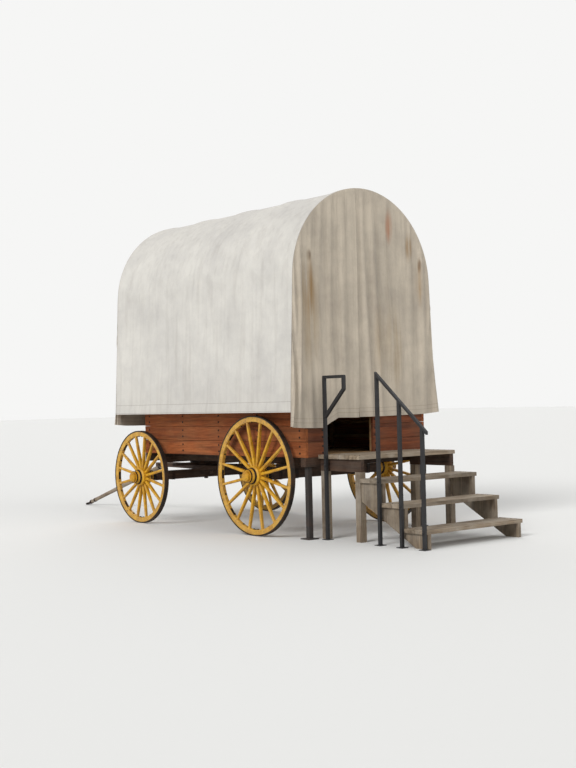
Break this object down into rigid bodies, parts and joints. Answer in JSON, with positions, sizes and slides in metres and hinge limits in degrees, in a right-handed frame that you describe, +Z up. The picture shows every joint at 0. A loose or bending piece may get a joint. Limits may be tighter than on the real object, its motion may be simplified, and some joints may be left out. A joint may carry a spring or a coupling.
{
  "type": "covered wagon",
  "caption": "Canvas-topped camping wagon: board box on spoked wheels, bowed cover with end curtains, drawbar, rear landing, steps and handrail.",
  "frame": {"origin": "on the ground, under the middle of the length from the boarding steps' handrail to the hitch ring", "axes": "+X forward along the wagon, towards the tongue; +Y to the wagon's left, the handrail's side; +Z up"},
  "size_m": [7.1508, 2.089, 3.5199],
  "materials": {
    "box_boards": "weathered reddish brown boards",
    "rear_boards": "brick red painted boards, worn",
    "inside_wood": "plain sawn wood",
    "canvas": "heavy off-white canvas, stained",
    "curtain_canvas": "beige canvas, brown water stains",
    "gear_wood": "dark weathered wood",
    "tongue_wood": "grey weathered wood",
    "iron": "dark iron, lightly rusted",
    "tyre_iron": "dark iron, worn on the tread",
    "wheel_paint": "worn yellow paint over wood",
    "step_wood": "grey brown weathered planks",
    "rail_paint": "black paint, satin",
    "leg_steel": "dark paint, dull"
  },
  "bodies": {
    "wagon_body": {"side_boards_left": "box_boards", "side_boards_right": "box_boards", "front_boards": "box_boards", "rear_boards": "rear_boards", "floor_boards": "inside_wood", "cleats": "inside_wood", "ledges": "inside_wood", "front_tie": "inside_wood", "bows": "inside_wood", "purlins": "inside_wood", "canvas_cover": "canvas", "front_curtain": "curtain_canvas", "rear_curtain_left": "curtain_canvas", "rear_curtain_right": "curtain_canvas", "sills": "gear_wood", "end_bearers": "gear_wood", "rear_axle_beam": "gear_wood", "rear_bolster": "gear_wood", "reach_pole": "gear_wood", "rear_hounds": "gear_wood", "front_bolster": "gear_wood", "turntable_upper": "iron", "king_pin": "iron", "rear_axle_spindles": "iron", "landing_deck": "step_wood", "treads": "step_wood", "landing_joists": "step_wood", "landing_legs": "step_wood", "stringers": "step_wood", "stair_rail": "rail_paint", "landing_guard": "rail_paint", "rear_legs": "leg_steel"},
    "front_carriage": {"turntable_lower": "iron", "sand_board": "gear_wood", "front_axle_beam": "gear_wood", "front_hounds": "gear_wood", "slider_bar": "gear_wood", "tongue_pin": "iron", "front_axle_spindles": "iron"},
    "tongue": {"tongue_pole": "tongue_wood", "hitch_ring": "iron"},
    "rear_wheel_left": {"rear_wheel_left_hub": "wheel_paint", "rear_wheel_left_spokes": "wheel_paint", "rear_wheel_left_felloes": "wheel_paint", "rear_wheel_left_tyre": "tyre_iron"},
    "rear_wheel_right": {"rear_wheel_right_hub": "wheel_paint", "rear_wheel_right_spokes": "wheel_paint", "rear_wheel_right_felloes": "wheel_paint", "rear_wheel_right_tyre": "tyre_iron"},
    "front_wheel_left": {"front_wheel_left_hub": "wheel_paint", "front_wheel_left_spokes": "wheel_paint", "front_wheel_left_felloes": "wheel_paint", "front_wheel_left_tyre": "tyre_iron"},
    "front_wheel_right": {"front_wheel_right_hub": "wheel_paint", "front_wheel_right_spokes": "wheel_paint", "front_wheel_right_felloes": "wheel_paint", "front_wheel_right_tyre": "tyre_iron"}
  },
  "joints": [
    {"name": "front_steer", "type": "hinge", "parent": "wagon_body", "child": "front_carriage", "pos_m": [0.74458, 0, 0.5], "axis": [0, 0, 1], "range_deg": [-6, 6]},
    {"name": "tongue_lift", "type": "hinge", "parent": "front_carriage", "child": "tongue", "pos_m": [1.62458, 0, 0.605], "axis": [0, -1, 0], "range_deg": [0, 45]},
    {"name": "rear_wheel_left_spin", "type": "hinge", "parent": "wagon_body", "child": "rear_wheel_left", "pos_m": [-1.38542, 0.92, 0.61], "axis": [0, 1, 0], "continuous": true},
    {"name": "rear_wheel_right_spin", "type": "hinge", "parent": "wagon_body", "child": "rear_wheel_right", "pos_m": [-1.38542, -0.92, 0.61], "axis": [0, 1, 0], "continuous": true},
    {"name": "front_wheel_left_spin", "type": "hinge", "parent": "front_carriage", "child": "front_wheel_left", "pos_m": [0.74458, 0.92, 0.53], "axis": [0, 1, 0], "continuous": true},
    {"name": "front_wheel_right_spin", "type": "hinge", "parent": "front_carriage", "child": "front_wheel_right", "pos_m": [0.74458, -0.92, 0.53], "axis": [0, 1, 0], "continuous": true}
  ]
}
